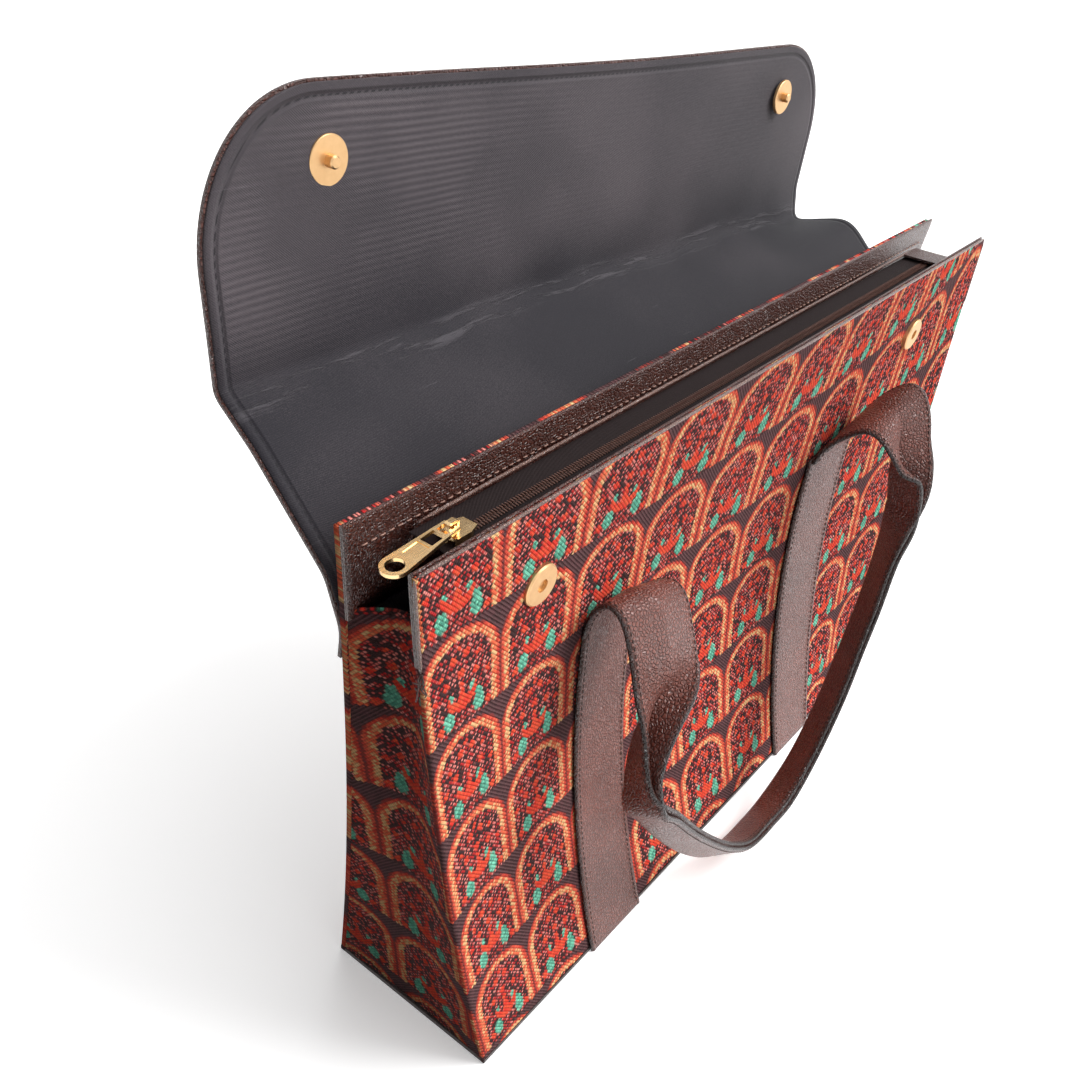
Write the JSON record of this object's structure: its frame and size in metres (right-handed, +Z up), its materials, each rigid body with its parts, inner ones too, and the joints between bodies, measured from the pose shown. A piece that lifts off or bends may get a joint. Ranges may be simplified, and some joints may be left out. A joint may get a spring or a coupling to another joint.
{
  "type": "tote bag",
  "caption": "Woven tote bag with leather straps that fold into hanging handles, a zip across the mouth, magnetic snaps and a flap standing open behind it.",
  "frame": {"origin": "middle of the base panel's underside, on the surface the bag stands on", "axes": "+Z up, -Y towards the front with the snap sockets, +X along the bag's width towards the zip's closed end tab"},
  "size_m": [0.48, 0.1608, 0.4057],
  "materials": {
    "woven_fabric": "coarse weave",
    "leather": "satin",
    "lining_fabric": "ribbed",
    "zip_tape": "fine weave",
    "zip_coil": "matte",
    "gold_metal": "polished"
  },
  "bodies": {
    "bag": {"front_panel": "woven_fabric", "back_panel": "woven_fabric", "left_gusset": "woven_fabric", "right_gusset": "woven_fabric", "base_panel": "leather", "lining": "lining_fabric", "front_facing": "leather", "back_facing": "leather", "back_zip_strip": "leather", "front_zip_tape": "zip_tape", "back_zip_tape": "zip_tape", "front_zip_coil": "zip_coil", "back_zip_coil": "zip_coil", "zip_end_tab": "leather", "front_left_band": "leather", "front_right_band": "leather", "front_handle": "leather", "back_left_band": "leather", "back_right_band": "leather", "back_handle": "leather", "flap": "leather", "flap_lining": "lining_fabric", "left_snap_socket": "gold_metal", "right_snap_socket": "gold_metal", "left_snap_stud": "gold_metal", "right_snap_stud": "gold_metal"},
    "slider": {"zip_slider": "gold_metal"},
    "pull": {"zip_pull": "gold_metal"}
  },
  "joints": [
    {"name": "zip_slide", "type": "slide", "parent": "bag", "child": "slider", "axis": [1, 0, 0], "range_m": [0, 0.385], "deforming": ["front_zip_coil", "back_zip_coil"]},
    {"name": "pull_flip", "type": "hinge", "parent": "slider", "child": "pull", "pos_m": [-0.208, -0.022, 0.2889], "axis": [0, 1, 0], "range_deg": [0, 187]}
  ]
}
